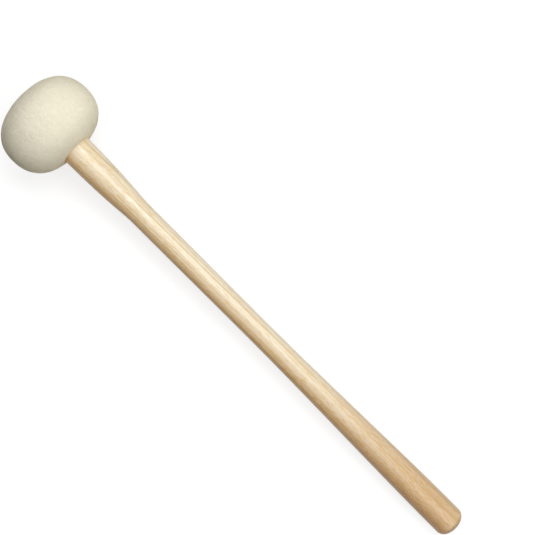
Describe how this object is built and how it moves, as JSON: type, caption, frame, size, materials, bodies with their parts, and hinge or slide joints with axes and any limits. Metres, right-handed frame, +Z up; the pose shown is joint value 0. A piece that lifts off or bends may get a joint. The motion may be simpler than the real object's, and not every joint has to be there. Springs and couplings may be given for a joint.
{
  "type": "bass drum mallet",
  "caption": "Bass drum mallet with a solid felt head glued on the tenon of a turned hickory handle, which flares at the neck and at the grip.",
  "frame": {"origin": "under the middle of the mallet's length, on the surface that it lies on, midway across", "axes": "+X along the mallet towards the butt of the handle, +Z up from the surface that it lies on; the handle's own axis dips by 3.5 degrees towards the butt"},
  "size_m": [0.3676, 0.0612, 0.0611],
  "materials": {
    "hickory": "satin",
    "wool_felt": "matte",
    "dried_glue": "satin"
  },
  "bodies": {
    "root": {"handle": "hickory", "felt_head": "wool_felt", "glue_joint": "dried_glue"}
  },
  "joints": []
}
